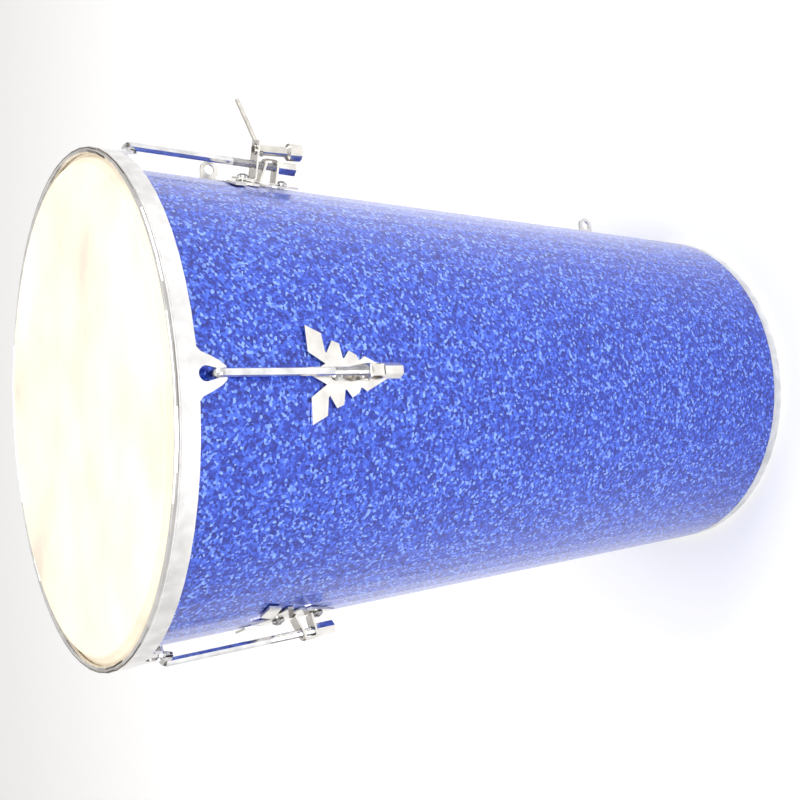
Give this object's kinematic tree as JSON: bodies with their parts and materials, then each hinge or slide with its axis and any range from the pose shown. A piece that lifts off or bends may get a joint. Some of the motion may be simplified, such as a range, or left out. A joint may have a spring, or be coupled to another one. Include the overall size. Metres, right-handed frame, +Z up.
{
  "type": "long conical hand drum",
  "caption": "Long conical hand drum with a hide head, beaded counter hoop, hook rods on winged lugs, a stored tuning key and strap brackets, played with the hands.",
  "frame": {"origin": "centre of the foot ring's lower face, on the shell's axis", "axes": "+Z runs up the shell's axis to the head, -Y is out through lug 1"},
  "size_m": [0.3693, 0.331, 0.505],
  "materials": {
    "shell_wood": "plain wood ply",
    "blue_glitter": "glitter laminate",
    "foot_metal": "bright ring",
    "hide": "natural hide",
    "chrome": "polished",
    "lug_chrome": "polished sheet",
    "screw_steel": "plated",
    "key_steel": "plated"
  },
  "bodies": {
    "root": {"shell": "shell_wood", "shell_wrap": "blue_glitter", "foot_ring": "foot_metal", "flesh_hoop": "shell_wood", "drum_skin": "hide", "lug_plate_1": "lug_chrome", "lug_plate_2": "lug_chrome", "lug_plate_3": "lug_chrome", "lug_plate_4": "lug_chrome", "lug_plate_5": "lug_chrome", "lug_post_1": "lug_chrome", "lug_post_2": "lug_chrome", "lug_post_3": "lug_chrome", "lug_post_4": "lug_chrome", "lug_post_5": "lug_chrome", "lug_screw_upper_1": "screw_steel", "lug_screw_upper_2": "screw_steel", "lug_screw_upper_3": "screw_steel", "lug_screw_upper_4": "screw_steel", "lug_screw_upper_5": "screw_steel", "lug_screw_lower_1": "screw_steel", "lug_screw_lower_2": "screw_steel", "lug_screw_lower_3": "screw_steel", "lug_screw_lower_4": "screw_steel", "lug_screw_lower_5": "screw_steel", "lug_nut_upper_1": "screw_steel", "lug_nut_upper_2": "screw_steel", "lug_nut_upper_3": "screw_steel", "lug_nut_upper_4": "screw_steel", "lug_nut_upper_5": "screw_steel", "lug_nut_lower_1": "screw_steel", "lug_nut_lower_2": "screw_steel", "lug_nut_lower_3": "screw_steel", "lug_nut_lower_4": "screw_steel", "lug_nut_lower_5": "screw_steel", "key_holder": "lug_chrome", "strap_bracket_upper": "lug_chrome", "strap_bracket_lower": "lug_chrome", "strap_screw_upper_top": "screw_steel", "strap_screw_upper_bottom": "screw_steel", "strap_screw_lower_top": "screw_steel", "strap_screw_lower_bottom": "screw_steel", "strap_nut_upper_top": "screw_steel", "strap_nut_upper_bottom": "screw_steel", "strap_nut_lower_top": "screw_steel", "strap_nut_lower_bottom": "screw_steel"},
    "hoop": {"counter_hoop": "chrome", "hook_rod_1": "chrome", "hook_rod_2": "chrome", "hook_rod_3": "chrome", "hook_rod_4": "chrome", "hook_rod_5": "chrome"},
    "nut_1": {"tension_nut_1": "lug_chrome"},
    "nut_2": {"tension_nut_2": "lug_chrome"},
    "nut_3": {"tension_nut_3": "lug_chrome"},
    "nut_4": {"tension_nut_4": "lug_chrome"},
    "nut_5": {"tension_nut_5": "lug_chrome"},
    "key": {"key_tube": "key_steel"},
    "key_handle": {"key_bar": "key_steel"}
  },
  "joints": [
    {"name": "hoop_slide", "type": "slide", "parent": "root", "child": "hoop", "axis": [0, 0, 1], "range_m": [0, 0.005]},
    {"name": "nut_1_turn", "type": "hinge", "parent": "root", "child": "nut_1", "pos_m": [0, -0.15985, 0.38521], "axis": [0, -0.059, 0.9983], "range_deg": [0, 2250]},
    {"name": "nut_2_turn", "type": "hinge", "parent": "root", "child": "nut_2", "pos_m": [0.15203, -0.0494, 0.38521], "axis": [0.0561, -0.0182, 0.9983], "range_deg": [0, 2250]},
    {"name": "nut_3_turn", "type": "hinge", "parent": "root", "child": "nut_3", "pos_m": [0.09396, 0.12932, 0.38521], "axis": [0.0347, 0.0478, 0.9983], "range_deg": [0, 2250]},
    {"name": "nut_4_turn", "type": "hinge", "parent": "root", "child": "nut_4", "pos_m": [-0.09396, 0.12932, 0.38521], "axis": [-0.0347, 0.0478, 0.9983], "range_deg": [0, 2250]},
    {"name": "nut_5_turn", "type": "hinge", "parent": "root", "child": "nut_5", "pos_m": [-0.15203, -0.0494, 0.38521], "axis": [-0.0561, -0.0182, 0.9983], "range_deg": [0, 2250]},
    {"name": "key_slide", "type": "slide", "parent": "root", "child": "key", "axis": [0, 0, -1], "range_m": [0, 0.03]},
    {"name": "key_bar_slide", "type": "slide", "parent": "key", "child": "key_handle", "axis": [0.8425, 0.5388, 0], "range_m": [-0.02, 0]}
  ],
  "couplings": [
    {"joint": "nut_1_turn", "follows": "hoop_slide", "rad_per_m": 7854},
    {"joint": "nut_2_turn", "follows": "hoop_slide", "rad_per_m": 7854},
    {"joint": "nut_3_turn", "follows": "hoop_slide", "rad_per_m": 7854},
    {"joint": "nut_4_turn", "follows": "hoop_slide", "rad_per_m": 7854},
    {"joint": "nut_5_turn", "follows": "hoop_slide", "rad_per_m": 7854}
  ]
}
